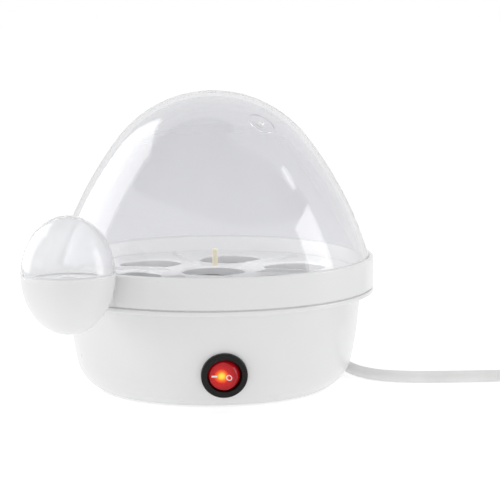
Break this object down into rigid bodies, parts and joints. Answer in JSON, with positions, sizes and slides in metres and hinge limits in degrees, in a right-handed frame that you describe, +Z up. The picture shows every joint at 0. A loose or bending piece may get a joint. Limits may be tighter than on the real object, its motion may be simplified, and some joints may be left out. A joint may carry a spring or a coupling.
{
  "type": "egg cooker",
  "caption": "Round electric egg cooker: white base with a lit rocker switch, lift-out egg tray with a side pod and measuring cup, clear dome lid, mains lead with a coil and plug.",
  "frame": {"origin": "on the table under the dome's axis", "axes": "+Z up along the dome's axis, -Y to the front where the switch is, +X to the right"},
  "size_m": [0.3919, 0.2601, 0.1665],
  "materials": {
    "white_plastic": "glossy moulded",
    "cream_plastic": "glossy moulded",
    "clear_plastic": "clear, polished",
    "black_plastic": "satin moulded",
    "red_lens": "lit, translucent",
    "lamp_glass": "clear",
    "phenolic": "moulded",
    "block_nylon": "moulded",
    "fuse_sleeve": "woven sleeve",
    "cord_white": "soft flexible sheath",
    "core_colours": "insulation in three colours",
    "wire_brown": "insulation",
    "wire_black": "insulation",
    "wire_blue": "insulation",
    "wire_green": "insulation",
    "foot_rubber": "soft",
    "gasket_silicone": "soft",
    "plate_steel": "pressed stainless",
    "element_steel": "oxidised sheath",
    "screw_steel": "zinc plated",
    "contact_brass": "tinned",
    "pin_nickel": "nickel plated"
  },
  "bodies": {
    "base": {"base_housing": "white_plastic", "bottom_cover": "white_plastic", "foot_ring": "foot_rubber", "cover_screws": "screw_steel", "heating_plate": "plate_steel", "plate_gasket": "gasket_silicone", "plate_nuts": "screw_steel", "heating_element": "element_steel", "element_clips": "screw_steel", "clip_nuts": "screw_steel", "thermostat": "phenolic", "thermostat_bracket": "screw_steel", "thermal_fuse": "fuse_sleeve", "terminal_block": "block_nylon", "block_screw": "screw_steel", "live_wire": "wire_brown", "switched_wire": "wire_black", "lamp_wire": "wire_blue", "element_wire": "wire_black", "neutral_wire": "wire_blue", "earth_wire": "wire_green", "switch_frame": "black_plastic", "switch_lamp": "lamp_glass", "switch_terminals": "contact_brass", "cord_gland": "cord_white", "cord_inner_end": "cord_white", "cord_clamp": "block_nylon", "clamp_screws": "screw_steel", "cord_cores": "core_colours", "power_cord": "cord_white", "cord_coil": "cord_white", "cord_tail": "cord_white", "cord_tie": "black_plastic", "plug_body": "cord_white", "plug_pins": "pin_nickel", "plug_earth_clips": "pin_nickel"},
    "tray": {"egg_tray": "white_plastic", "tray_post": "cream_plastic", "pod_holder": "white_plastic", "pod_screw": "screw_steel", "piercer_plate": "white_plastic", "piercing_needle": "screw_steel"},
    "lid": {"dome_lid": "clear_plastic"},
    "cup": {"measuring_cup": "clear_plastic"},
    "rocker": {"switch_rocker": "red_lens"}
  },
  "joints": [
    {"name": "tray_lift", "type": "slide", "parent": "base", "child": "tray", "axis": [0, 0, 1], "range_m": [0, 0.08]},
    {"name": "lid_lift", "type": "slide", "parent": "tray", "child": "lid", "axis": [0, 0, 1], "range_m": [0, 0.12]},
    {"name": "cup_lift", "type": "slide", "parent": "tray", "child": "cup", "axis": [0, 0, 1], "range_m": [0, 0.06]},
    {"name": "rocker_tip", "type": "hinge", "parent": "base", "child": "rocker", "pos_m": [0, -0.07643, 0.02038], "axis": [0, -0.1913, 0.9815], "range_deg": [0, 20]}
  ]
}
